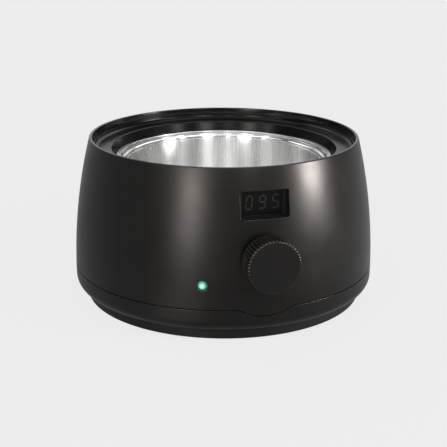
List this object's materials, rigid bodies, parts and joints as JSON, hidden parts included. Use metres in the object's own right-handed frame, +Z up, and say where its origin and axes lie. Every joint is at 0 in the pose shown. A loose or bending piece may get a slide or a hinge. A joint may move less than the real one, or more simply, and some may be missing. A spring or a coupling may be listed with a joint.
{
  "type": "chain wax heater",
  "caption": "Round table-top heater for melting chain wax, with a lift-out metal pot, a ledge for a lid, a digital display, a rotary knob, an indicator lamp and a mains inlet.",
  "frame": {"origin": "centre of the rubber foot ring's lower face, on the body's axis at the height of the table", "axes": "+Z up along the body's axis, -Y towards the side with the knob and the display, +X to the right of someone who looks at that side"},
  "size_m": [0.18, 0.1923, 0.0974],
  "materials": {
    "shell_black": "satin, warm black, fine moulded texture",
    "base_black": "matt black",
    "ring_black": "semi-gloss black, heat resistant",
    "well_metal": "drawn, matt, bright turned rim",
    "pot_metal": "spun and polished",
    "foot_rubber": "matt",
    "heater_sheath": "rolled sheet",
    "insulation_wool": "pressed mineral wool",
    "shield_steel": "zinc plated",
    "screw_steel": "zinc plated",
    "cutout_phenolic": "dark brown phenolic",
    "sensor_epoxy": "glass and epoxy capsule",
    "clip_steel": "spring steel",
    "board_green": "solder mask",
    "relay_black": "moulded",
    "transformer_yellow": "taped winding",
    "capacitor_sleeve": "shrunk sleeve",
    "fuse_glass": "cartridge in clips",
    "terminal_grey": "moulded",
    "header_white": "moulded",
    "display_black": "potted, smoked face",
    "digit_lit": "dim grey bars",
    "digit_dark": "unlit bars",
    "frame_black": "matt",
    "cable_grey": "flat cable",
    "dial_housing": "phenolic housing",
    "dial_metal": "nickel plated",
    "knob_black": "satin, fluted side",
    "lamp_green": "diffused lens, lit mint green",
    "lamp_holder_green": "dark bushing",
    "inlet_black": "matt",
    "contact_metal": "nickel plated",
    "wire_blue": "insulated wire",
    "wire_white": "glass braid sleeve",
    "wire_grey": "insulated wire"
  },
  "bodies": {
    "body": {"foot_ring": "foot_rubber", "base_tray": "base_black", "lower_shell": "shell_black", "upper_shell": "shell_black", "top_ring": "ring_black", "heating_well": "well_metal", "band_heater": "heater_sheath", "heater_clamp_screw": "screw_steel", "insulation_sleeve": "insulation_wool", "insulation_disc": "insulation_wool", "heat_shield": "shield_steel", "shield_screws": "screw_steel", "thermal_cutout": "cutout_phenolic", "cutout_screws": "screw_steel", "temperature_sensor": "sensor_epoxy", "sensor_clip": "clip_steel", "sensor_clip_screw": "screw_steel", "control_board": "board_green", "control_board_screws": "screw_steel", "board_relay": "relay_black", "board_transformer": "transformer_yellow", "board_capacitors": "capacitor_sleeve", "board_fuse": "fuse_glass", "board_terminals": "terminal_grey", "board_headers": "header_white", "display_module": "display_black", "display_lit_bars": "digit_lit", "display_dark_bars": "digit_dark", "display_frame": "frame_black", "display_board": "board_green", "display_header": "header_white", "display_screws": "screw_steel", "ribbon_cable": "cable_grey", "potentiometer_body": "dial_housing", "potentiometer_tags": "contact_metal", "potentiometer_washer": "dial_metal", "potentiometer_nut": "dial_metal", "indicator_led": "lamp_green", "led_holder": "lamp_holder_green", "led_leads": "contact_metal", "inlet_body": "inlet_black", "inlet_pins": "contact_metal", "case_screws": "screw_steel", "top_ring_screws": "screw_steel", "mains_leads": "wire_blue", "heater_leads": "wire_white", "sensor_cable": "wire_grey", "dial_wires": "wire_grey", "lamp_wires": "wire_grey"},
    "knob": {"control_knob": "knob_black", "potentiometer_shaft": "dial_metal"},
    "pot": {"wax_pot": "pot_metal"}
  },
  "joints": [
    {"name": "knob_turn", "type": "hinge", "parent": "body", "child": "knob", "pos_m": [0, -0.09, 0.0485], "axis": [0, -1, 0], "range_deg": [-150, 150]},
    {"name": "pot_lift", "type": "slide", "parent": "body", "child": "pot", "axis": [0, 0, 1], "range_m": [0, 0.09]}
  ]
}
